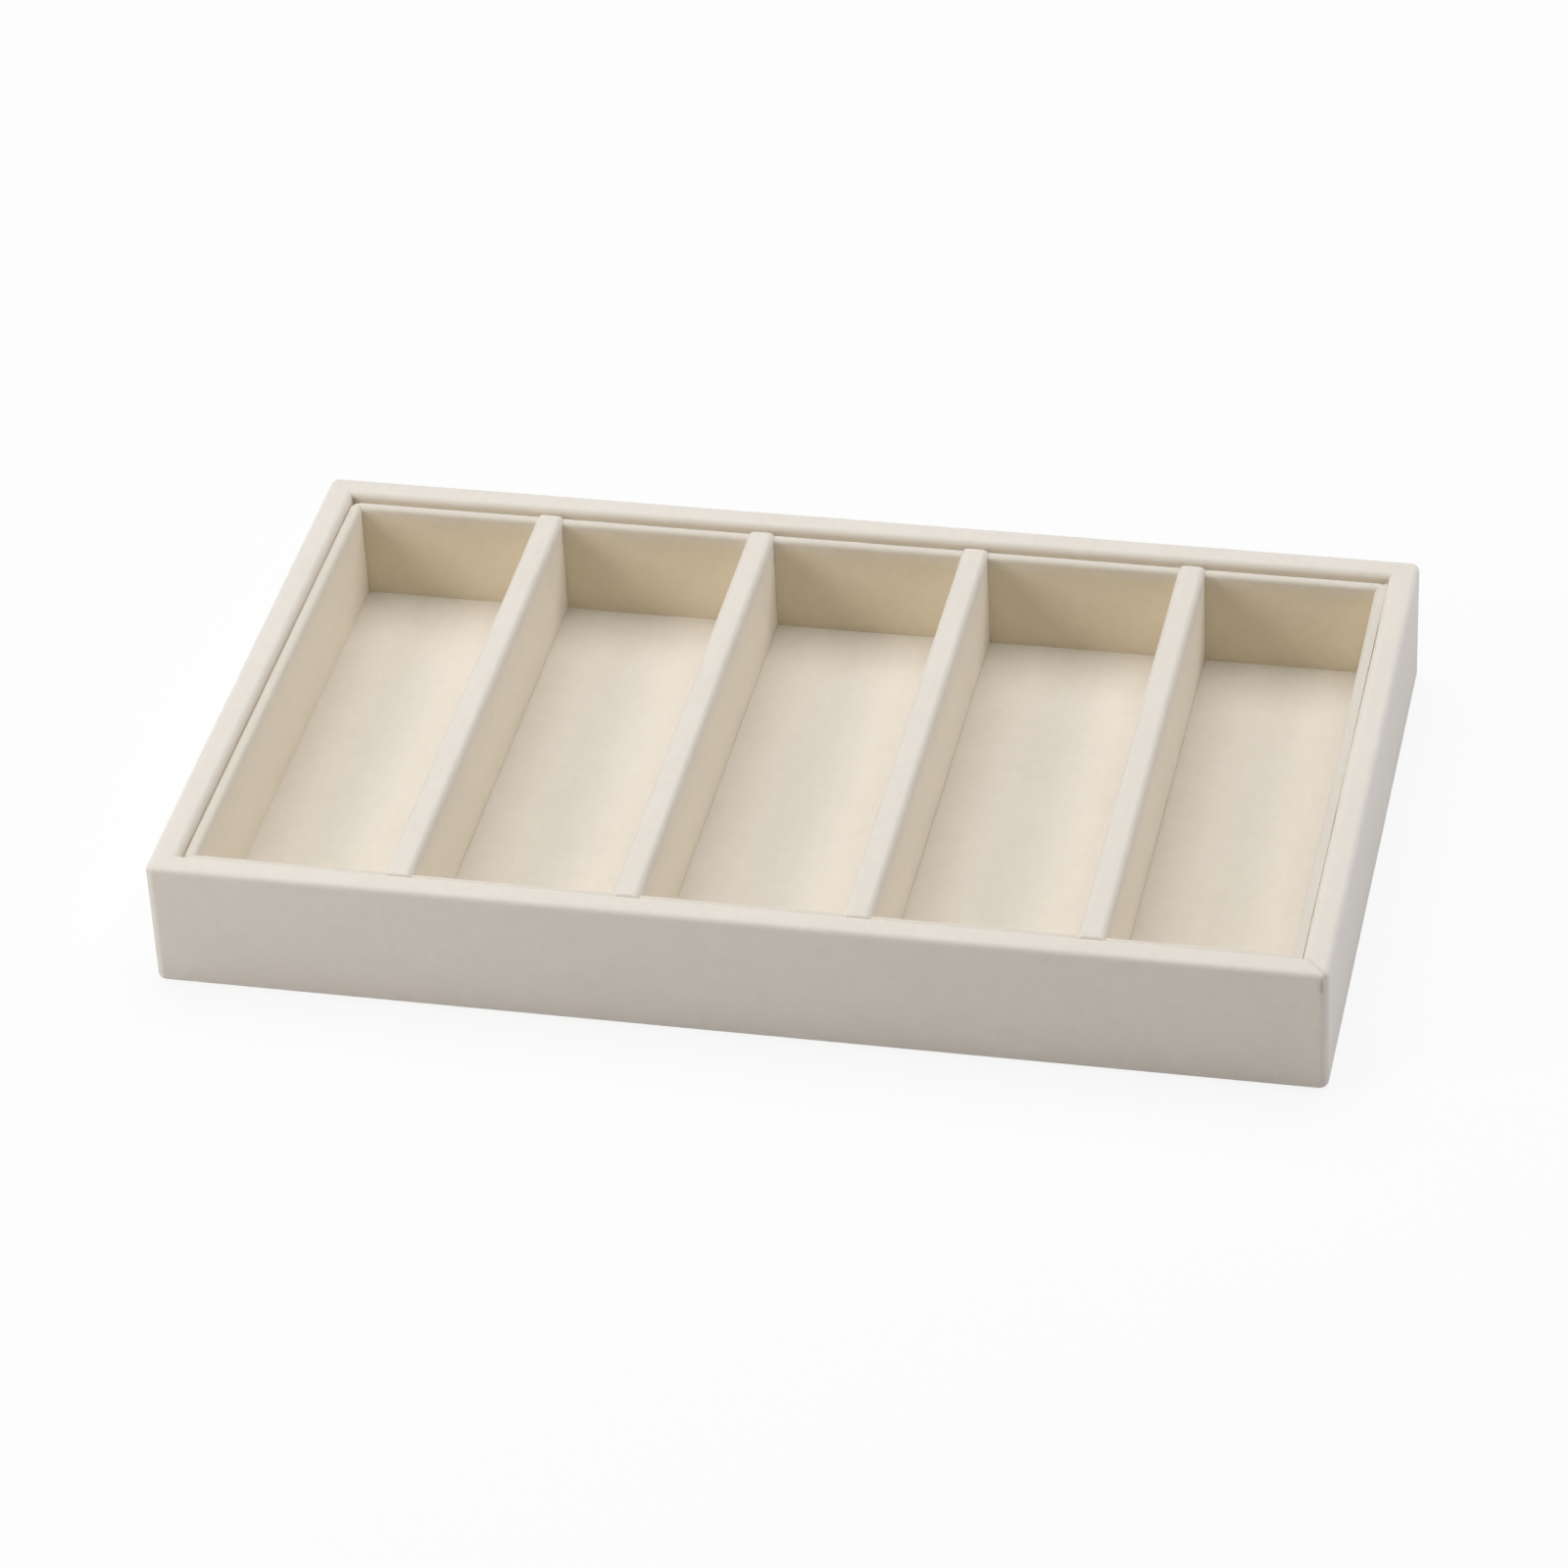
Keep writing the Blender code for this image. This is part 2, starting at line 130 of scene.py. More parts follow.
def finishMesh(name, shape, sharpAngle=60.0):
    mesh = bpy.data.meshes.new(name)
    shape.to_mesh(mesh)
    shape.free()
    piece = bpy.data.objects.new(name, mesh)
    bpy.context.scene.collection.objects.link(piece)
    mesh.shade_smooth()
    mesh.set_sharp_from_angle(angle=math.radians(sharpAngle))
    return piece


def addThickness(piece, even):
    skin = piece.modifiers.new("thickness", "SOLIDIFY")
    skin.thickness = cloth["thickness"]
    skin.offset = -1.0
    skin.use_even_offset = even


def addSlab(shape, halfX, halfY, bottom, top):
    bmesh.ops.create_cube(shape, size=1.0)
    for vert in shape.verts:
        vert.co = Vector((vert.co.x * 2 * halfX, vert.co.y * 2 * halfY, bottom if vert.co.z < 0 else top))


def riseOf(edge):
    return abs(edge.verts[0].co.z - edge.verts[1].co.z)


def roundEdges(shape, edges, width, steps):
    bmesh.ops.bevel(shape, geom=edges, offset=width, segments=steps, profile=0.5, affect="EDGES",
                    clamp_overlap=True)


def sliceUp(shape, axis, places, mergeReach=1e-7):
    direction = Vector((0, 0, 0))
    direction[axis] = 1.0
    for place in places:
        everything = list(shape.verts) + list(shape.edges) + list(shape.faces)
        bmesh.ops.bisect_plane(
            shape, geom=everything, dist=mergeReach, plane_co=direction * place, plane_no=direction)


def spread(low, high, longest):
    steps = max(1, math.ceil((high - low) / longest))
    return [low + (high - low) * step / steps for step in range(1, steps)]


def openBelow(shape, foot):
    # the cloth has no underside, only its edges
    under = [face for face in shape.faces if face.calc_center_median().z < foot + tiny]
    bmesh.ops.delete(shape, geom=under, context="FACES")
    shape.normal_update()


def dress(piece, body, slot, material, *nodes):
    piece.data.materials.clear()
    piece.data.materials.append(material)
    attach(piece, body)
    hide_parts(*nodes)


# strips of cloth over a wall


def roundedLine(corners, longest, levels=()):
    # (u, v, radius) corners to rows of point, outward normal and how folded the cloth is there
    rows = []

    def addStraight(start, end):
        run = end - start
        normal = Vector((run.y, -run.x)).normalized()
        marks = {0.0, 1.0}
        pieces = max(1, math.ceil(run.length / longest))
        marks.update(step / pieces for step in range(1, pieces))
        for level in levels:
            if abs(run.y) > abs(run.x) and min(start.y, end.y) < level < max(start.y, end.y):
                marks.add((level - start.y) / run.y)
        for mark in sorted(marks):
            rows.append((start + run * mark, normal, 0.0))

    def addBend(centre, radius, startNormal, turn):
        for step in range(1, cloth["bendSteps"]):
            share = step / cloth["bendSteps"]
            normal = startNormal.copy()
            normal.rotate(Matrix.Rotation(turn * share, 2))
            rows.append((centre + normal * radius, normal, math.sin(math.pi * share)))

    points = [Vector((u, v)) for u, v, _ in corners]
    start = points[0]
    for index in range(1, len(corners)):
        before = (points[index] - points[index - 1]).normalized()
        radius = corners[index][2]
        end = points[index] - before * radius
        addStraight(start, end)
        if radius > 0:
            after = (points[index + 1] - points[index]).normalized()
            normal = Vector((before.y, -before.x))
            turn = math.atan2(before.cross(after), before.dot(after))
            addBend(end - normal * radius, radius, normal, turn)
            start = points[index] + after * radius
    return rows


def sideOf(sideName, wrap, middle, **own):
    # what coverStrip has to know about one side; puff and swell are for its outer and inner face
    halfRun, outer = (wrap["halfX"], wrap["halfY"]) if isLong(sideName) else (wrap["halfY"], wrap["halfX"])
    return {
        "name": sideName,
        "halfRun": halfRun,
        "outer": outer,
        "middle": middle,
        "cornerRound": wrap["cornerRound"],
        "shadingDepthReach": wrap["shadingDepthReach"],
        **own,
    }


def planPlace(u, station, side):
    # where a thread at depth u runs: straight along the side, then round the corner to the mitre
    sign, share = station
    zoneStart = side["halfRun"] - cloth["cornerZone"]
    if share <= 0:
        return Vector((sign * zoneStart * (1 + share), u)), 0.0, 1.0
    rounding = side["cornerRound"]
    straight = cloth["cornerZone"] - max(rounding, u)
    arcRadius = max(rounding - u, 0.0)
    length = straight + arcRadius * math.pi / 4 - cloth["seamGap"] * math.sqrt(2)
    gone = share * length
    toSeam = length - gone
    if gone <= straight or arcRadius == 0:
        return Vector((sign * (zoneStart + gone), u)), 0.0, toSeam
    angle = (gone - straight) / arcRadius
    along = side["halfRun"] - rounding + arcRadius * math.sin(angle)
    return Vector((sign * along, rounding - arcRadius * math.cos(angle))), sign * angle, toSeam


def sideStations(side, notches=()):
    # (sign, share): share runs from -1 in the middle to 0 at the corner zone and 1 at the seam
    half = side["halfRun"] - cloth["cornerZone"]
    places = {0.0}
    steps = math.ceil(half / cloth["stretch"])
    for step in range(1, steps):
        places.update((half * step / steps, -half * step / steps))
    for notch in notches:
        places = {place for place in places
                  if min(abs(place - edge) for edge in notch) >= cloth["notchClear"]}
        places.update(notch)
    middle = [(-1 if place < 0 else 1, abs(place) / half - 1) for place in sorted(places)]
    zone = sorted(zoneShares + (slitShares if side["slit"] else ()))
    left = [(-1, share) for share in reversed(zone)]
    right = [(1, share) for share in zone]
    return left + middle + right, sorted(places)


def uneven(point):
    slow = noise.noise(point * unevenness["slowScale"]) * unevenness["slow"]
    quickPoint = point * unevenness["quickScale"] + unevenness["quickShift"]
    return slow + noise.noise(quickPoint) * unevenness["quick"]


def openedShare(corner, height):
    # how far this corner's seam stands open
    if corner != seam["openCorner"]:
        return 0.0
    return asShare((height - seam["openAbove"]) / seam["openFade"])


def rolledIn(toSeam, opened):
    # the cloth's edge is rounded down into the seam
    roll = seam["roll"] + (seam["openRoll"] - seam["roll"]) * opened
    if toSeam >= roll:
        return 0.0
    reach = 1 - toSeam / roll
    return roll * seam["rollDepth"] * (1 - math.sqrt(max(0.0, 1 - reach * reach)))


def slitDepth(toSeam, height, slit):
    # a short slit where the seam has opened at the top of the front face
    across = (toSeam - slit["fromSeam"]) / slit["width"]
    along = (height - slit["middle"]) / slit["halfLength"]
    return slit["depth"] * math.exp(-across * across) * max(0.0, 1 - along * along)


def swellAt(height, toSeam):
    if height > swell["full"]:
        share = asShare((swell["top"] - height) / (swell["top"] - swell["full"]))
    else:
        share = asShare((height - swell["gone"]) / (swell["fading"] - swell["gone"]))
    return share * share * (3 - 2 * share) * min(1.0, toSeam / swell["seamReach"])


def coverStrip(name, rows, side, notches=(), notchLevel=None):
    # a strip of cloth folded over a wall, mitred at both ends, notched where the dividers pass
    stations, middlePlaces = sideStations(side, notches)
    turn = Matrix.Rotation(math.radians(sideTurns[side["name"]]), 4, "Z")
    squareSide = {**side, "cornerRound": 0.0}
    topLevel = max(point.y for point, _, _ in rows)
    shape, (foldMark, seamMark, shadingDepthMark) = newCloth()

    def toDivider(along, height):
        # the edges of a notch follow the rounded side of the divider in it
        for low, high in notches:
            if abs(along - low) < tiny:
                return side["recess"](height)
            if abs(along - high) < tiny:
                return -side["recess"](height)
        return 0.0

    def toWorld(plan, height):
        along = plan.x + toDivider(plan.x, height)
        return side["middle"] + turn @ Vector((along, plan.y - side["outer"], height))

    def addOuter(station, point, normal, fold):
        plan, angle, toSeam = planPlace(point.x, station, side)
        place = toWorld(plan, point.y)
        flat = Vector((-math.sin(angle), math.cos(angle))) * normal.x
        direction = turn @ Vector((flat.x, flat.y, normal.y))
        corner = cornersOf[side["name"]][0 if station[0] < 0 else 1]
        opened = openedShare(corner, point.y) if side["opens"] else 0.0
        slit = 0.0
        if side["slit"] and corner == seam["openCorner"]:
            slit = slitDepth(toSeam, point.y, side["slit"])
        full = swellAt(point.y, toSeam)
        puff = max(0.0, -normal.x) * (side["puff"][0] + side["swell"][0] * full)
        puff += max(0.0, normal.x) * (side["puff"][1] + side["swell"][1] * full)
        rough = uneven(place) * asShare((point.y - side["flatBelow"]) / unevenness["calmReach"])
        lift = rough + puff - rolledIn(toSeam, opened) - slit - cloth["nap"]
        vert = shape.verts.new(place + direction * lift)
        if normal.y < cloth["upright"]:
            fold = max(fold, abs(angle) / (math.pi / 4))
        # on the insert's walls the mark also counts how much the cloth faces up, for painted shade on the
        # tops
        vert[foldMark] = max(fold, normal.y) if side["crest"] else fold
        # dust and painted shade near the opened seam and down in the slit
        nearSeam = max(0.0, 1 - toSeam / seam["dustAndShadeReach"]) * opened
        vert[seamMark] = max(nearSeam, min(1.0, slit / seam["slitDustAndShade"]))
        # how deep below the top the inner face lies, used in the material for painted shade and painted
        # light
        if normal.x > 0:
            vert[shadingDepthMark] = asShare((topLevel - point.y) / side["shadingDepthReach"])
        return vert

    outer, inner = [], []
    for station in stations:
        outer.append([])
        inner.append([])
        for point, normal, fold in rows:
            outer[-1].append(addOuter(station, point, normal, fold))
            back = point - normal * cloth["thickness"]
            plan, _, _ = planPlace(back.x, station, squareSide)
            inner[-1].append(shape.verts.new(toWorld(plan, back.y)))

    last = len(rows) - 1
    zoneCount = (len(stations) - len(middlePlaces)) // 2

    def inNotch(index):
        # the faces between this station and the next lie in a notch
        first = index - zoneCount
        if not 0 <= first < len(middlePlaces) - 1:
            return False
        centre = (middlePlaces[first] + middlePlaces[first + 1]) / 2
        return any(low < centre < high for low, high in notches)

    def edgeAlong(at, row, flip):
        ring = (inner[at][row], inner[at + 1][row], outer[at + 1][row], outer[at][row])
        shape.faces.new(reversed(ring) if flip else ring)

    def edgeAcross(at, row, flip):
        ring = (outer[at][row], outer[at][row + 1], inner[at][row + 1], inner[at][row])
        shape.faces.new(reversed(ring) if flip else ring)

    cutRows = []
    if notchLevel is not None:
        above = [point.y > notchLevel - tiny for point, _, _ in rows]
        cutRows = [row for row in range(last) if above[row] and above[row + 1]]
    for at in range(len(stations) - 1):
        gap = cutRows if inNotch(at) else []
        for row in range(last):
            if row in gap:
                continue
            low, high = outer[at], outer[at + 1]
            shape.faces.new((low[row], high[row], high[row + 1], low[row + 1]))
            low, high = inner[at], inner[at + 1]
            shape.faces.new((low[row + 1], high[row + 1], high[row], low[row]))
        edgeAlong(at, 0, False)
        edgeAlong(at, last, True)
        if gap:
            edgeAlong(at, gap[0], True)
            edgeAlong(at, gap[-1] + 1, False)
            for beside, edge, flip in ((at - 1, at, True), (at + 1, at + 1, False)):
                if not inNotch(beside):
                    for row in gap:
                        edgeAcross(edge, row, flip)
    for edge, flip in ((0, False), (len(stations) - 1, True)):
        for row in range(last):
            edgeAcross(edge, row, flip)
    bmesh.ops.recalc_face_normals(shape, faces=shape.faces)
    return finishMesh(name, shape, 50.0)


# helpers for materials


def newMaterial(name):
    material = bpy.data.materials.new(name)
    material.use_nodes = True
    tree = material.node_tree
    shader = tree.nodes["Principled BSDF"]

    def node(kind, x, y, **values):
        made = tree.nodes.new(kind)
        made.location = (x, y)
        for key, value in values.items():
            setattr(made, key, value)
        return made

    def link(fromSocket, toSocket):
        tree.links.new(fromSocket, toSocket)

    return material, shader, node, link


def addNoise(node, link, coords, x, y, scale, detail=3.0, roughness=0.5, distortion=0.0):
    texture = node("ShaderNodeTexNoise", x, y)
    texture.inputs["Scale"].default_value = scale
    texture.inputs["Detail"].default_value = detail
    texture.inputs["Roughness"].default_value = roughness
    texture.inputs["Distortion"].default_value = distortion
    link(coords, texture.inputs["Vector"])
    return texture.outputs["Fac"]


def stretchCoords(node, link, coords, x, y, scale, turn=(0.0, 0.0, 0.0)):
    stretched = node("ShaderNodeMapping", x, y)
    stretched.inputs["Rotation"].default_value = turn
    stretched.inputs["Scale"].default_value = scale
    link(coords, stretched.inputs["Vector"])
    return stretched.outputs[0]


def weigh(node, link, x, y, parts, start=0.5):
    # start + the sum of (texture - 0.5) * weight, kept between 0 and 1
    total = None
    for index, (socket, weight) in enumerate(parts):
        scaled = node("ShaderNodeMath", x, y - index * 170, operation="MULTIPLY_ADD")
        link(socket, scaled.inputs[0])
        scaled.inputs[1].default_value = weight
        scaled.inputs[2].default_value = start - weight / 2 if total is None else -weight / 2
        if total is None:
            total = scaled.outputs[0]
        else:
            summed = node("ShaderNodeMath", x + 170, y - index * 170, operation="ADD")
            link(total, summed.inputs[0])
            link(scaled.outputs[0], summed.inputs[1])
            total = summed.outputs[0]
    held = node("ShaderNodeClamp", x + 340, y)
    link(total, held.inputs["Value"])
    return held.outputs[0]


def mixColours(node, link, x, y, factor, first, second, blend="MIX"):
    mixed = node("ShaderNodeMix", x, y, data_type="RGBA", blend_type=blend)
    link(factor, mixed.inputs["Factor"])
    for value, socket in ((first, mixed.inputs[6]), (second, mixed.inputs[7])):
        if hasattr(value, "is_linked"):
            link(value, socket)
        else:
            socket.default_value = (*value, 1.0)
    return mixed.outputs[2]


def markTimes(node, link, x, y, mark, weight):
    # one of the marks that newCloth makes, times a weight
    read = node("ShaderNodeAttribute", x, y, attribute_name=mark)
    scaled = node("ShaderNodeMath", x + 250, y, operation="MULTIPLY")
    link(read.outputs["Fac"], scaled.inputs[0])
    scaled.inputs[1].default_value = weight
    return scaled.outputs[0]


def addRelief(node, link, x, y, height, strength, depth, under=None):
    relief = node("ShaderNodeBump", x, y)
    relief.inputs["Strength"].default_value = strength
    relief.inputs["Distance"].default_value = depth
    link(height, relief.inputs["Height"])
    if under is not None:
        link(under, relief.inputs["Normal"])
    return relief.outputs[0]


def setFinish(shader, look):
    shader.inputs["Roughness"].default_value = look["roughness"]
    shader.inputs["Specular IOR Level"].default_value = look["specular"]
    shader.inputs["Sheen Weight"].default_value = look["sheen"]


# the finishes


def suedeMaterial(name, look):
    material, shader, node, link = newMaterial(name)
    coords = node("ShaderNodeTexCoord", -1900, 0).outputs["Object"]
    patches = addNoise(node, link, coords, -1650, 500, look["patchScale"], roughness=0.55, distortion=0.5)
    mottle = addNoise(node, link, coords, -1650, 250, look["mottleScale"], detail=4.0, roughness=0.6)
    grain = addNoise(node, link, coords, -1650, 0, look["grainScale"], roughness=0.7)
    brushed = stretchCoords(node, link, coords, -1650, -250, look["brushStretch"], look["brushTurn"])
    strokes = addNoise(node, link, brushed, -1450, -250, look["strokeScale"], roughness=0.6, distortion=0.8)
    nap = weigh(node, link, -1200, 300, [
        (patches, look["patches"]), (mottle, look["mottle"]),
        (grain, look["grain"]), (strokes, look["strokes"])])
    colour = mixColours(node, link, -650, 300, nap, look["napDown"], look["napUp"])
    # a lighter fold colour is wear at the folds; on the insert's walls a darker one is painted shade on the
    # tops
    wornAndShaded = markTimes(node, link, -900, -100, "fold", look["foldWearAndShade"])
    colour = mixColours(node, link, -400, 200, wornAndShaded, colour, look["foldWearAndShadeColour"])
    # dust and painted shade in the opened seam and the slit
    dustyAndShaded = markTimes(node, link, -900, -300, "seam", look["seamDustAndShade"])
    colour = mixColours(node, link, -200, 100, dustyAndShaded, colour, look["seamDustAndShadeColour"])
    # painted shade and painted light: the colour is multiplied by the tint the deeper the cloth lies below
    # its top
    shadingDepthShare = node("ShaderNodeAttribute", -400, 450, attribute_name="shadingDepth").outputs["Fac"]
    colour = mixColours(node, link, -50, 300, shadingDepthShare, colour, look["paintedShadingTint"], "MULTIPLY")
    link(colour, shader.inputs["Base Color"])
    setFinish(shader, look)
    shader.inputs["Sheen Roughness"].default_value = look["sheenRoughness"]
    shader.inputs["Sheen Tint"].default_value = (*look["sheenTint"], 1.0)
    hills = addRelief(node, link, -400, -500, mottle, look["mottleRelief"], look["mottleDepth"])
    fibres = addRelief(node, link, -200, -500, grain, look["grainRelief"], look["grainDepth"], hills)
    link(fibres, shader.inputs["Normal"])
    return material


traySuedeLook = {
    "napDown": (0.735, 0.690, 0.612),
    "napUp": (0.885, 0.840, 0.762),
    "foldWearAndShadeColour": (0.910, 0.880, 0.820),
    "foldWearAndShade": 0.35,
    "seamDustAndShadeColour": (0.420, 0.360, 0.300),
    "seamDustAndShade": 0.22,
    "paintedShadingTint": (0.97, 0.925, 0.84),      # painted shade: the colour turns warmer and darker the deeper the cloth lies below the top, here down into the groove
    "patchScale": 26.0, "patches": 0.30,
    "mottleScale": 210.0, "mottle": 0.45,
    "grainScale": 1500.0, "grain": 0.50,
    "strokeScale": 420.0, "strokes": 0.30,
    "brushTurn": (0.4, 0.7, 0.9),
    "brushStretch": (1.0, 0.14, 1.0),
    "roughness": 0.95,
    "specular": 0.15,
    "sheen": 0.60, "sheenRoughness": 0.55, "sheenTint": (1.0, 0.98, 0.95),
    "mottleRelief": 0.6, "mottleDepth": 0.00018,
    "grainRelief": 0.7, "grainDepth": 0.00010,
}
insertSuedeLook = {
    **traySuedeLook,
    "napDown": (0.740, 0.682, 0.600),
    "napUp": (0.882, 0.832, 0.748),
    "foldWearAndShadeColour": (0.910, 0.870, 0.800),
    "foldWearAndShade": 0.08,
    # painted shade: deeper down the inner faces of the insert's long walls the colour turns warmer and
    # darker
    "paintedShadingTint": (0.98, 0.945, 0.81),
    "brushTurn": (0.2, 0.3, 1.4),
}
# painted light: the dividers' faces and the inner faces of the insert's end walls are made brighter deeper
# below their tops, standing in for sheen
dividerSuedeLook = {**insertSuedeLook, "paintedShadingTint": (1.08, 1.06, 0.98), "brushTurn": (0.9, 0.2, 0.5)}

# painted shade on the tops of the insert's walls: there the fold mark also counts how much the cloth faces
# up, and the fold colour is darker
crestLook = {"foldWearAndShadeColour": (0.61, 0.56, 0.46), "foldWearAndShade": 0.35}

feltLook = {
    **traySuedeLook,
    "napDown": (0.50, 0.45, 0.38), "napUp": (0.68, 0.63, 0.55), "foldWearAndShade": 0.0, "seamDustAndShade": 0.0,
    "patches": 0.4, "mottle": 0.6, "grain": 0.6, "strokes": 0.5, "mottleDepth": 0.0003, "sheen": 0.15,
}


def boardMaterial(name, look):
    material, shader, node, link = newMaterial(name)
    coords = node("ShaderNodeTexCoord", -1500, 0).outputs["Object"]
    cloud = addNoise(node, link, coords, -1250, 200, look["cloudScale"], detail=4.0, roughness=0.6)
    pressed = stretchCoords(node, link, coords, -1450, -200, look["fibreStretch"])
    fibres = addNoise(node, link, pressed, -1250, -100, look["fibreScale"], 4.0, 0.7, 0.6)
    tone = weigh(node, link, -1000, 100, [(cloud, look["clouds"]), (fibres, look["fibres"])])
    link(mixColours(node, link, -450, 100, tone, look["dark"], look["light"]), shader.inputs["Base Color"])
    setFinish(shader, look)
    link(addRelief(node, link, -250, -250, fibres, look["relief"], look["depth"]), shader.inputs["Normal"])
    return material


fibreboardLook = {
    "dark": (0.33, 0.23, 0.13), "light": (0.50, 0.37, 0.23),
    "cloudScale": 90.0, "clouds": 0.5,
    "fibreScale": 900.0, "fibres": 1.1, "fibreStretch": (1.0, 0.25, 1.0),
    "roughness": 0.8, "specular": 0.3, "sheen": 0.0,
    "relief": 0.5, "depth": 0.0001,
}
cardLook = {
    **fibreboardLook,
    "dark": (0.40, 0.36, 0.31), "light": (0.60, 0.56, 0.49),
    "cloudScale": 60.0, "fibreScale": 1300.0, "fibreStretch": (1.0, 0.6, 1.0),
    "roughness": 0.85, "depth": 0.00005,
}


def wovenMaterial(name, look):
    # a plain weave: two sets of threads crossing
    material, shader, node, link = newMaterial(name)
    coords = node("ShaderNodeTexCoord", -1700, 0).outputs["Object"]
    cloud = addNoise(node, link, coords, -1450, 300, look["cloudScale"])
    threads = []
    for y, direction in ((50, "X"), (-250, "Y")):
        wave = node("ShaderNodeTexWave", -1450, y, bands_direction=direction)
        wave.inputs["Scale"].default_value = look["threadScale"]
        wave.inputs["Distortion"].default_value = look["threadWobble"]
        wave.inputs["Detail"].default_value = 1.0
        link(coords, wave.inputs["Vector"])
        threads.append(wave.outputs["Fac"])
    tone = weigh(node, link, -1150, 200, [
        (cloud, look["clouds"]), (threads[0], look["threads"]), (threads[1], look["threads"])])
    link(mixColours(node, link, -600, 200, tone, look["dark"], look["light"]), shader.inputs["Base Color"])
    setFinish(shader, look)
    crossed = node("ShaderNodeMath", -800, -200, operation="ADD")
    link(threads[0], crossed.inputs[0])
    link(threads[1], crossed.inputs[1])
    relief = addRelief(node, link, -400, -250, crossed.outputs[0], look["relief"], look["depth"])
    link(relief, shader.inputs["Normal"])
    return material


liningLook = {
    "dark": (0.58, 0.52, 0.42), "light": (0.80, 0.74, 0.64),
    "cloudScale": 40.0, "clouds": 0.5,
    "threadScale": 420.0, "threads": 0.5, "threadWobble": 0.6,
    "roughness": 0.9, "specular": 0.2, "sheen": 0.1,
    "relief": 0.5, "depth": 0.00008,
}

traySuede = suedeMaterial("tray_suede_nap", traySuedeLook)
insertSuede = suedeMaterial("insert_suede_nap", insertSuedeLook)
dividerSuede = suedeMaterial("divider_suede_nap", dividerSuedeLook)
longWallSuede = suedeMaterial("long_wall_suede_nap", {**insertSuedeLook, **crestLook})
# the insert's end walls take the dividers' painted light deeper down their inner faces
endWallSuede = suedeMaterial("end_wall_suede_nap", {**dividerSuedeLook, **crestLook})
feltMaterial = suedeMaterial("pressed_felt", feltLook)
liningMaterial = wovenMaterial("woven_lining", liningLook)
fibreboard = boardMaterial("raw_fibreboard", fibreboardLook)
greyCard = boardMaterial("grey_card", cardLook)

boardNodes = {"fibreboard": fibreboard, "card": greyCard}
for part in frame["record"]["subparts"]:
    if part["material_slot"] in boardNodes:
        board = frame["nodes"][part["node"]]
        board.data.materials.clear()
        board.data.materials.append(boardNodes[part["material_slot"]])
print("tray: materials made")

# the tray's wraps: over the four rails and turned in under the tray

trayLow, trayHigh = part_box("front_wrap")
trayWrap = {
    "halfX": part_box("right_wrap")[1].x,
    "halfY": -trayLow.y,
    "height": trayHigh.z,
    "rim": trayHigh.y - trayLow.y,
    "inside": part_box("base_lining")[0].z,    # the cloth ends on the base board, under the lining
    "rimRound": 0.0022,
    "innerRound": 0.0024,
    "footRound": 0.0018,
    "cornerRound": 0.0030,
    "hem": 0.0070,
    "innerPuff": 0.00010,
    "swell": {"front": 0.0, "right": 0.00010, "back": 0.00020, "left": 0.00015},
    "shadingDepthReach": 0.0024,
}
frontSlit = {"fromSeam": 0.0013, "width": 0.00055, "middle": 0.0373, "halfLength": 0.0027, "depth": 0.0008}
slitLevels = [frontSlit["middle"] + frontSlit["halfLength"] * step / 3 for step in range(-3, 3)]


def wrapSection(wrap, levels):
    return roundedLine(
        [
            (wrap["rim"], wrap["inside"], 0),
            (wrap["rim"], wrap["height"], wrap["innerRound"]),
            (0, wrap["height"], wrap["rimRound"]),
            (0, 0, wrap["footRound"]),
            (wrap["hem"], 0, 0),
        ],
        cloth["stretch"],
        levels,
    )


for sideName in sideTurns:
    slit = frontSlit if sideName == "front" else None
    section = wrapSection(trayWrap, slitLevels if slit else grooveLevels)
    side = sideOf(
        sideName, trayWrap, Vector((0, 0, 0)),
        flatBelow=0.0,
        opens=True,          # a seam at its corners may have opened
        slit=slit,
        crest=False,         # the rim gets no painted shade on its top
        puff=(0.0, trayWrap["innerPuff"]),
        swell=(0.0, trayWrap["swell"][sideName]),
    )
    wrap = coverStrip("suede_" + sideName + "_wrap", section, side)
    dress(wrap, "tray", "tray_suede", traySuede, sideName + "_wrap")
print("tray: rail wraps done")

# the insert's wall wraps, notched for the dividers

leftLow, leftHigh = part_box("insert_left_wrap")
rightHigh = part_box("insert_right_wrap")[1]
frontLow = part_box("insert_front_wrap")[0]
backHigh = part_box("insert_back_wrap")[1]
padLow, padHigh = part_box("floor_suede_1")
insertMiddle = Vector(((leftLow.x + rightHigh.x) / 2, (frontLow.y + backHigh.y) / 2, 0))
insertWall = {
    "halfX": (rightHigh.x - leftLow.x) / 2,
    "halfY": (backHigh.y - frontLow.y) / 2,
    "wall": leftHigh.x - leftLow.x,
    "top": leftHigh.z,
    "outsideBottom": leftLow.z,
    "insideBottom": padLow.z,
    "innerRound": 0.00175,
    "outerRound": {"front": 0.0017, "right": 0.0003, "back": 0.0017, "left": 0.0017},
    "cornerRound": 0.0010,
    "swell": {"front": 0.0, "right": 0.0, "back": 0.00055, "left": 0.00078},
    "outerPuff": {"front": 0.00005, "right": 0.00022, "back": 0.0, "left": 0.0},
    "shadingDepthReach": 0.0040,
}
room = {"halfX": insertWall["halfX"] - insertWall["wall"], "halfY": insertWall["halfY"] - insertWall["wall"]}
dividerBoxes = [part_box("divider_wrap_" + str(number)) for number in range(1, 5)]
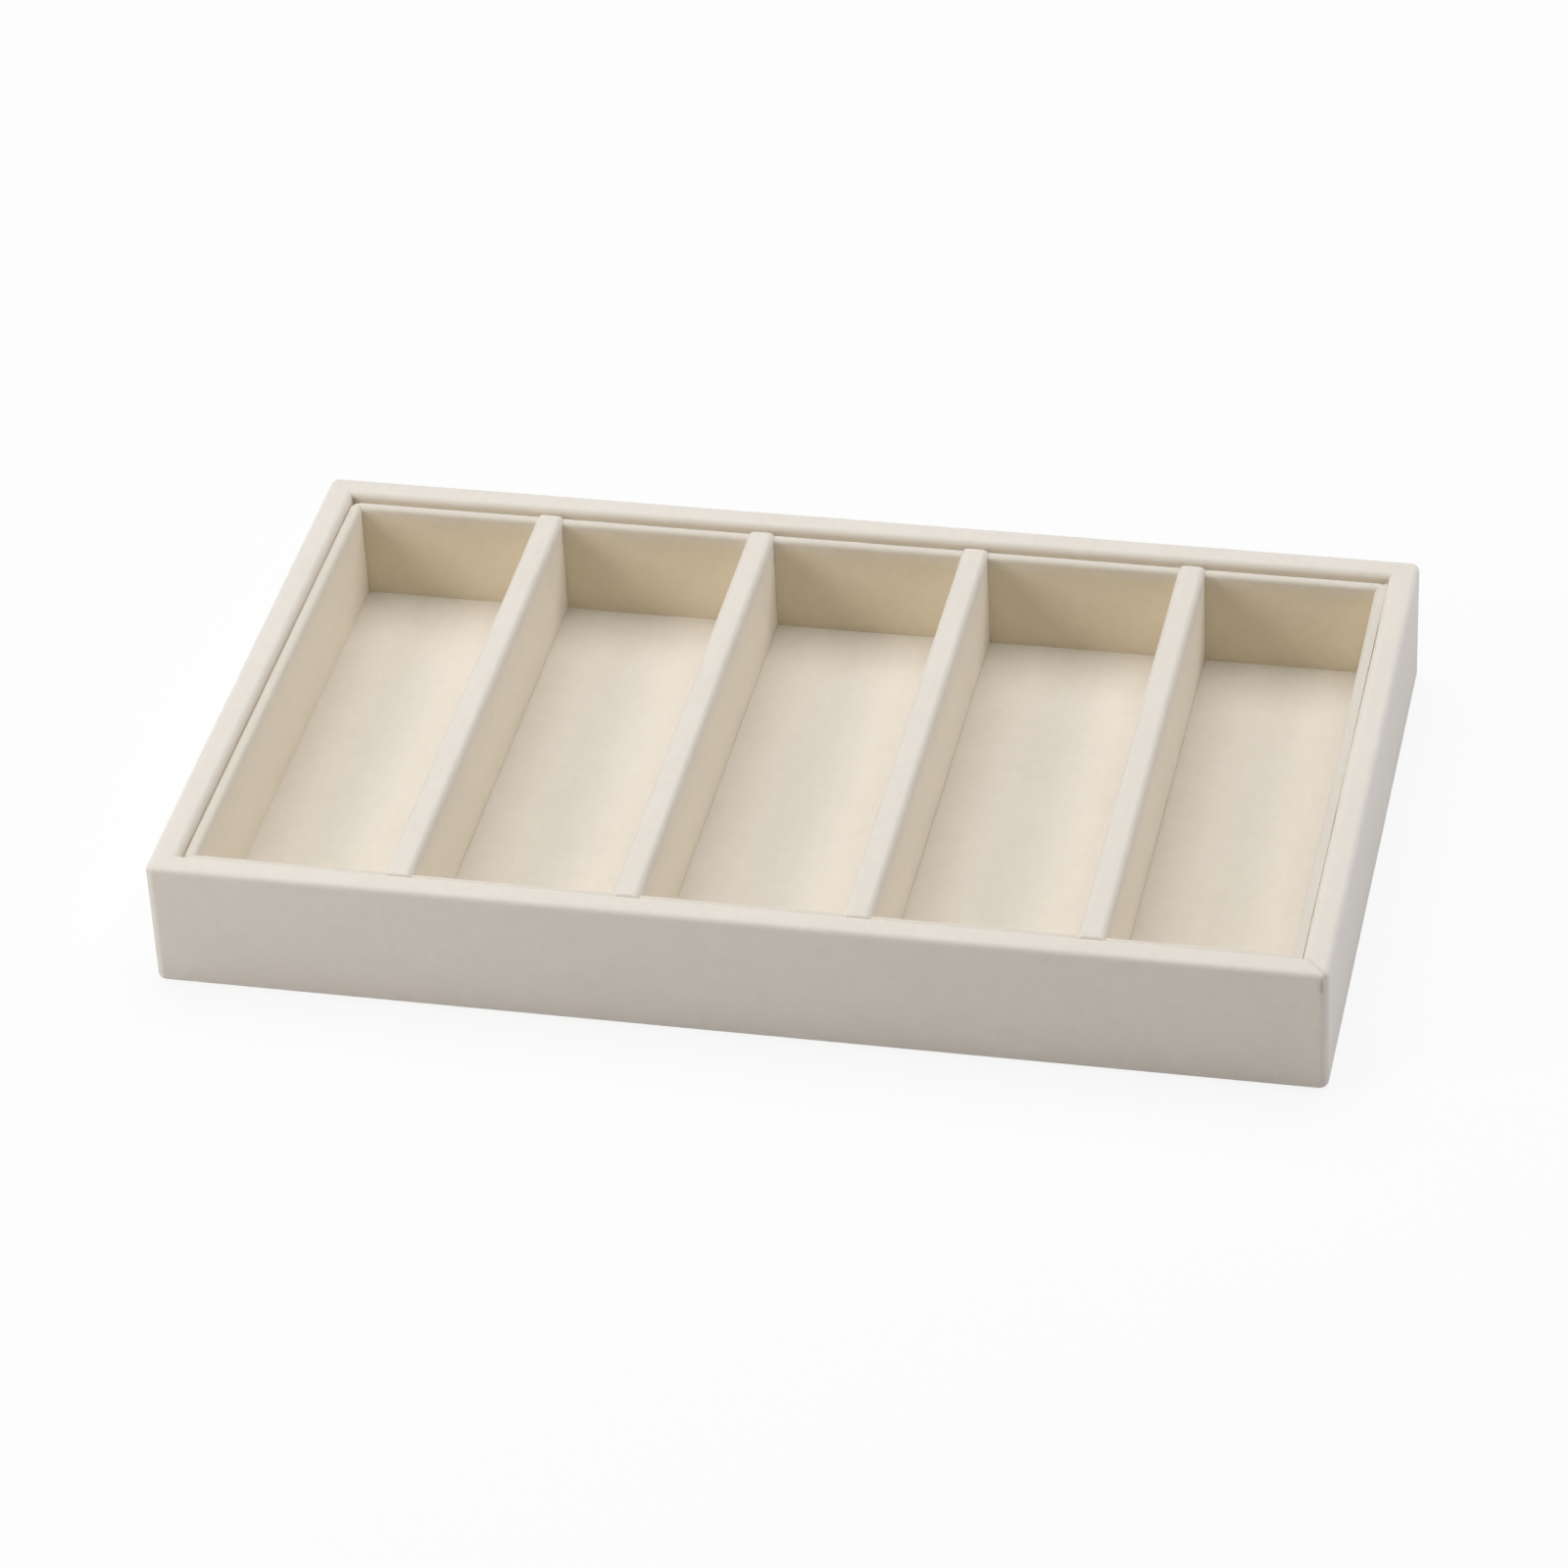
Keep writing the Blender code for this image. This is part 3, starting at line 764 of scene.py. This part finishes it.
divider = {
    "centres": [(low.x + high.x) / 2 - insertMiddle.x for low, high in dividerBoxes],
    "thickness": dividerBoxes[0][1].x - dividerBoxes[0][0].x,
    "bodyHalf": room["halfY"] - cloth["touch"],
    "tabHalf": dividerBoxes[0][1].y - insertMiddle.y,
    "bottom": dividerBoxes[0][0].z,
    "top": dividerBoxes[0][1].z,
    "tabHeight": 0.0100,
    "edgeRound": 0.0022,
    "endRound": 0.0011,      # the ends are folded sharper than the top
    "shadingDepthReach": 0.0040,
    "leastTurn": 1e-9,       # less than this is a rounding error
    "stillEnd": 0.0010,      # the ends under the tabs lie flat against the walls, from here on
    "stillShoulder": 0.0005,
}
divider["tabBottom"] = divider["top"] - divider["tabHeight"]
notchBottom = divider["tabBottom"] - cloth["touch"]
halfNotch = divider["thickness"] / 2 + cloth["touch"]


def sideRecess(height):
    # how far a divider's side stands back from its full width
    over = max(0.0, height - divider["top"] + divider["edgeRound"])
    return cloth["nap"] + divider["edgeRound"] - math.sqrt(divider["edgeRound"] ** 2 - over ** 2)


def wallSection(wall, outerRound):
    return roundedLine(
        [
            (wall["wall"], wall["insideBottom"], 0),
            (wall["wall"], wall["top"], wall["innerRound"]),
            (0, wall["top"], outerRound),
            (0, wall["outsideBottom"], 0),
        ],
        cloth["stretch"],
        (notchBottom, *grooveLevels),
    )


for sideName in sideTurns:
    notches, notchLevel, nap = [], None, endWallSuede
    if isLong(sideName):
        facing = -1 if sideName == "back" else 1
        notches = sorted((facing * x - halfNotch, facing * x + halfNotch) for x in divider["centres"])
        notchLevel, nap = notchBottom, longWallSuede
    section = wallSection(insertWall, insertWall["outerRound"][sideName])
    side = sideOf(
        sideName, insertWall, insertMiddle,
        flatBelow=padHigh.z,
        opens=False,
        slit=None,
        # the tops get painted shade
        crest=True,
        puff=(insertWall["outerPuff"][sideName], 0.0),
        swell=(insertWall["swell"][sideName], 0.0),
        recess=sideRecess,
    )
    wrap = coverStrip("suede_insert_" + sideName, section, side, notches, notchLevel)
    dress(wrap, "insert", "insert_suede", nap, "insert_" + sideName + "_wrap")
print("tray: insert wall wraps done")

# divider sleeves


def dividerSleeve(number, centreX):
    half = divider["thickness"] / 2
    body, tab = divider["bodyHalf"], divider["tabHalf"]
    low, shoulder, top = divider["bottom"], divider["tabBottom"], divider["top"]
    bend, sharp = divider["edgeRound"], divider["endRound"]
    outline = [(-body, low), (body, low), (body, shoulder), (tab, shoulder),
               (tab, top), (-tab, top), (-tab, shoulder), (-body, shoulder)]
    shape, (foldMark, _, shadingDepthMark) = newCloth()
    face = shape.faces.new([shape.verts.new((-half, y, z)) for y, z in outline])
    grown = bmesh.ops.extrude_face_region(shape, geom=[face])["geom"]
    farSide = [made for made in grown if isinstance(made, bmesh.types.BMVert)]
    bmesh.ops.translate(shape, vec=(2 * half, 0, 0), verts=farSide)
    bmesh.ops.recalc_face_normals(shape, faces=shape.faces)

    def folded(edge):
        onTop = min(vert.co.z for vert in edge.verts) > top - tiny
        onEnd = min(abs(vert.co.y) for vert in edge.verts) > tab - tiny
        return onTop or (onEnd and riseOf(edge) > tiny)

    roundEdges(shape, [edge for edge in shape.edges if folded(edge)], bend, cloth["bendSteps"])
    sliceUp(shape, 1, spread(-tab, tab, cloth["stretch"]))
    sliceUp(shape, 2, spread(low, top - bend, cloth["stretch"]))
    sliceUp(shape, 0, [0.0])
    openBelow(shape, low)
    spot = insertMiddle + Vector((centreX, 0, 0))
    moves = []
    for vert in shape.verts:
        across = max(0.0, abs(vert.co.x) - half + bend) / bend
        upward = max(0.0, vert.co.z - top + bend) / bend
        ending = max(0.0, abs(vert.co.y) - tab + bend) / bend
        if abs(vert.co.y) > tab - bend - tiny:
            # from the end's sharp fold to the top's round one
            share = upward ** 2 / max(upward ** 2 + ending ** 2, divider["leastTurn"])
            width = sharp + (bend - sharp) * share
            if across > 0:
                vert.co.x = math.copysign(half - width * (1 - across), vert.co.x)
            vert.co.y = math.copysign(tab - sharp * (1 - ending), vert.co.y)
        vert[foldMark] = min(1.0, 2 * max(across * upward, across * ending, upward * ending))
        # how deep below the top the divider's face lies, used in the material for painted light
        if abs(vert.co.y) < body + tiny:
            vert[shadingDepthMark] = asShare((top - bend - vert.co.z) / divider["shadingDepthReach"])
        calm = asShare((vert.co.z - padHigh.z) / unevenness["calmReach"])
        shift = uneven(vert.co + spot) * calm - cloth["nap"]
        if abs(vert.co.y) > body - divider["stillEnd"] and vert.co.z < shoulder + divider["stillShoulder"]:
            shift = 0.0
        moves.append((vert, vert.normal * shift + spot))
    for vert, move in moves:
        vert.co += move
    piece = finishMesh("suede_divider_" + str(number), shape)
    addThickness(piece, even=True)
    return piece


for number, centreX in enumerate(divider["centres"], start=1):
    sleeve = dividerSleeve(number, centreX)
    dress(sleeve, "insert", "insert_suede", dividerSuede, "divider_wrap_" + str(number))
print("tray: divider sleeves done")

# suede floors of the compartments

floorPad = {
    "top": padHigh.z,
    "bottom": padLow.z,
    "edgeRound": 0.00018,
    "edgeSteps": 5,
    "edgeWear": 0.6,
    "overNap": 0.00010,      # the floors press this far into the nap around them
    "crown": 0.00020,
    "crownFall": (4, 12),    # the crown stays level longer lengthwise than crosswise
    "crownLevel": 0.8,       # the arch crosses the pad's own height here
    "waves": 1.6,            # times the walls' unevenness
}


def floorCover(number, low, high):
    halfX = (high - low) / 2 + floorPad["overNap"]
    halfY = room["halfY"] + floorPad["overNap"]
    bottom, top = floorPad["bottom"], floorPad["top"]
    fallX, fallY = floorPad["crownFall"]
    spot = insertMiddle + Vector(((low + high) / 2, 0, 0))
    shape, (foldMark, _, _) = newCloth()
    addSlab(shape, halfX, halfY, bottom, top)
    folded = [edge for edge in shape.edges
              if riseOf(edge) > tiny or min(vert.co.z for vert in edge.verts) > top - tiny]
    roundEdges(shape, folded, floorPad["edgeRound"], floorPad["edgeSteps"])
    sliceUp(shape, 0, spread(-halfX, halfX, cloth["stretch"]))
    sliceUp(shape, 1, spread(-halfY, halfY, cloth["stretch"]))
    openBelow(shape, bottom)
    for vert in shape.verts:
        upper = (vert.co.z - bottom) / (top - bottom)
        arch = (1 - abs(vert.co.x / halfX) ** fallX) * (1 - abs(vert.co.y / halfY) ** fallY)
        lift = floorPad["crown"] * (arch - floorPad["crownLevel"])
        lift += floorPad["waves"] * uneven(vert.co + spot)
        near = max(abs(vert.co.x) - halfX, abs(vert.co.y) - halfY) / floorPad["edgeRound"] + 1
        vert[foldMark] = asShare(near) * floorPad["edgeWear"]
        vert.co.z += lift * max(0.0, upper) ** 2
        vert.co += spot
    piece = finishMesh("suede_floor_" + str(number), shape)
    addThickness(piece, even=False)
    return piece


compartmentSides = [-room["halfX"]]
for centreX in divider["centres"]:
    compartmentSides += [centreX - divider["thickness"] / 2, centreX + divider["thickness"] / 2]
compartmentSides.append(room["halfX"])
for number, (low, high) in enumerate(zip(compartmentSides[::2], compartmentSides[1::2]), start=1):
    cover = floorCover(number, low, high)
    dress(cover, "insert", "insert_suede", insertSuede, "floor_suede_" + str(number))
print("tray: suede floors done")

# sheets under the tray and under the insert

thin = {
    "cornerRound": 0.0015,
    "cornerSteps": 4,
    "edgeRound": 0.3,        # of the sheet's thickness
    "edgeSteps": 2,
    "sharp": 1.0,            # radians: sharper edges than this are rounded
    "stretch": 0.008,
    "edgeReach": 0.0004,     # the cut edge sways in and out this near the sheet's side
    "sway": 0.00012,
    "edgeWaves": 90.0,
    "topWaves": 60.0,
    "topSway": 0.3,          # of the edge's sway
}


def thinSheet(name, halfX, halfY, bottom, top):
    shape, _ = newCloth()
    addSlab(shape, halfX, halfY, bottom, top)
    uprights = [edge for edge in shape.edges if riseOf(edge) > tiny]
    roundEdges(shape, uprights, thin["cornerRound"], thin["cornerSteps"])
    rims = [edge for edge in shape.edges
            if riseOf(edge) < tiny and len(edge.link_faces) == 2 and edge.calc_face_angle() > thin["sharp"]]
    roundEdges(shape, rims, (top - bottom) * thin["edgeRound"], thin["edgeSteps"])
    sliceUp(shape, 0, spread(-halfX, halfX, thin["stretch"]))
    sliceUp(shape, 1, spread(-halfY, halfY, thin["stretch"]))
    middle = (bottom + top) / 2
    for vert in shape.verts:
        atSide = halfX - abs(vert.co.x) < thin["edgeReach"]
        atEnd = halfY - abs(vert.co.y) < thin["edgeReach"]
        sway = noise.noise(vert.co * thin["edgeWaves"]) * thin["sway"]
        if atSide:
            vert.co.x += math.copysign(sway, vert.co.x)
        if atEnd:
            vert.co.y += math.copysign(sway, vert.co.y)
        if vert.co.z > middle:
            vert.co.z += noise.noise(vert.co * thin["topWaves"]) * thin["sway"] * thin["topSway"]
    return finishMesh(name, shape)


for name, node, material, slotName in (
    ("underside_felt", "underside_sheet", feltMaterial, "underside_felt"),
    ("base_lining_cloth", "base_lining", liningMaterial, "base_lining"),
):
    low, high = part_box(node)
    sheet = thinSheet(name, high.x, high.y, low.z, high.z)
    dress(sheet, "tray", slotName, material, node)
print("tray: felt and lining done")

# floor, light and camera

stage = {
    "floorSize": 6.0,
    "floorDrop": 0.0002,
    "floorColour": (0.90, 0.90, 0.90),
    "whiteShare": 0.86,      # how much of the floor's look is plain white
    "white": (1.0, 1.0, 1.0),
    "air": 0.01,             # strength of the light from all round
}


def seenPlainly(nodes, links):
    # 1 for what the camera sees, directly or mirrored, and 0 for the light on the tray
    rays = nodes.new("ShaderNodeLightPath")
    seen = rays.outputs["Is Camera Ray"]
    for kind in ("Is Glossy Ray", "Is Transmission Ray"):
        either = nodes.new("ShaderNodeMath")
        either.operation = "MAXIMUM"
        links.new(seen, either.inputs[0])
        links.new(rays.outputs[kind], either.inputs[1])
        seen = either.outputs[0]
    return seen


def addLook(nodes, kind, colour, strength=None):
    made = nodes.new(kind)
    made.inputs["Color"].default_value = (*colour, 1.0)
    if strength is not None:
        made.inputs["Strength"].default_value = strength
    return made.outputs[0]


def mixLooks(nodes, links, factor, first, second, outputKind):
    mixed = nodes.new("ShaderNodeMixShader")
    output = nodes.new(outputKind)
    for index, socket in enumerate((factor, first, second)):
        links.new(socket, mixed.inputs[index])
    links.new(mixed.outputs[0], output.inputs["Surface"])


def addFloor():
    mesh = bpy.data.meshes.new("stage_floor")
    shape = bmesh.new()
    bmesh.ops.create_grid(shape, x_segments=1, y_segments=1, size=stage["floorSize"] / 2)
    shape.to_mesh(mesh)
    shape.free()
    floor = bpy.data.objects.new("stage_floor", mesh)
    floor.location.z = -stage["floorDrop"]
    bpy.context.scene.collection.objects.link(floor)
    material = bpy.data.materials.new("stage_white")
    material.use_nodes = True
    nodes, links = material.node_tree.nodes, material.node_tree.links
    nodes.clear()
    share = nodes.new("ShaderNodeMath")
    share.operation = "MULTIPLY"
    share.inputs[1].default_value = stage["whiteShare"]
    links.new(seenPlainly(nodes, links), share.inputs[0])
    matte = addLook(nodes, "ShaderNodeBsdfDiffuse", stage["floorColour"])
    white = addLook(nodes, "ShaderNodeEmission", stage["white"], 1.0)
    mixLooks(nodes, links, share.outputs[0], matte, white, "ShaderNodeOutputMaterial")
    mesh.materials.append(material)


def setWorld():
    world = bpy.data.worlds.new("studio")
    world.use_nodes = True
    nodes, links = world.node_tree.nodes, world.node_tree.links
    nodes.clear()
    air = addLook(nodes, "ShaderNodeBackground", stage["white"], stage["air"])
    white = addLook(nodes, "ShaderNodeBackground", stage["white"], 1.0)
    mixLooks(nodes, links, seenPlainly(nodes, links), air, white, "ShaderNodeOutputWorld")
    bpy.context.scene.world = world


lampTarget = (0.0, 0.0, 0.02)
lamps = {
    "softbox_left": {
        "place": (-1.4, 0.5, 1.3), "size": (1.2, 1.2), "power": 4.2, "colour": (0.84, 1.0, 1.22),
    },
    "softbox_front": {
        "place": (-1.15, -0.8, 0.84), "size": (0.8, 0.8), "power": 9.6, "colour": (1.04, 0.98, 0.94),
    },
    "softbox_top": {
        "place": (0.0, 0.5, 1.8), "size": (2.0, 2.0), "power": 31.8, "colour": (1.01, 1.0, 0.99),
    },
    "softbox_right": {
        "place": (1.4, 0.1, 0.72), "size": (1.0, 0.9), "power": 4.6, "colour": (1.0, 0.99, 1.07),
    },
}


def addLamp(name, look):
    lamp = bpy.data.lights.new(name, "AREA")
    lamp.shape = "RECTANGLE"
    lamp.size, lamp.size_y = look["size"]
    lamp.energy = look["power"]
    lamp.color = look["colour"]
    holder = bpy.data.objects.new(name, lamp)
    holder.location = look["place"]
    aim = Vector(lampTarget) - Vector(look["place"])
    holder.rotation_euler = aim.to_track_quat("-Z", "Y").to_euler()
    bpy.context.scene.collection.objects.link(holder)


camera = {
    "lens": 141.9,
    "sensor": 36.0,
    "place": (0.3474, -1.4936, 1.1051),
    "azimuth": -13.31,       # of the view direction, from +Y towards +X
    "elevation": 35.42,
    "roll": 2.84,
    "clipStart": 0.01,
}


def addCamera():
    azimuth = math.radians(camera["azimuth"])
    elevation = math.radians(camera["elevation"])
    roll = math.radians(camera["roll"])
    level = math.cos(elevation)
    forward = Vector((math.sin(azimuth) * level, math.cos(azimuth) * level, -math.sin(elevation)))
    right = forward.cross(Vector((0, 0, 1))).normalized()
    up = right.cross(forward)
    across = right * math.cos(roll) - up * math.sin(roll)
    upward = up * math.cos(roll) + right * math.sin(roll)
    data = bpy.data.cameras.new("photo_camera")
    data.lens = camera["lens"]
    data.sensor_width = camera["sensor"]
    data.sensor_fit = "HORIZONTAL"
    data.clip_start = camera["clipStart"]
    holder = bpy.data.objects.new("photo_camera", data)
    turn = Matrix((across, upward, -forward)).transposed().to_4x4()
    holder.matrix_world = Matrix.Translation(camera["place"]) @ turn
    bpy.context.scene.collection.objects.link(holder)
    bpy.context.scene.camera = holder


addFloor()
setWorld()
for lampName, look in lamps.items():
    addLamp(lampName, look)
addCamera()
bpy.context.scene.view_settings.view_transform = "Standard"
print("tray: floor, light and camera set")
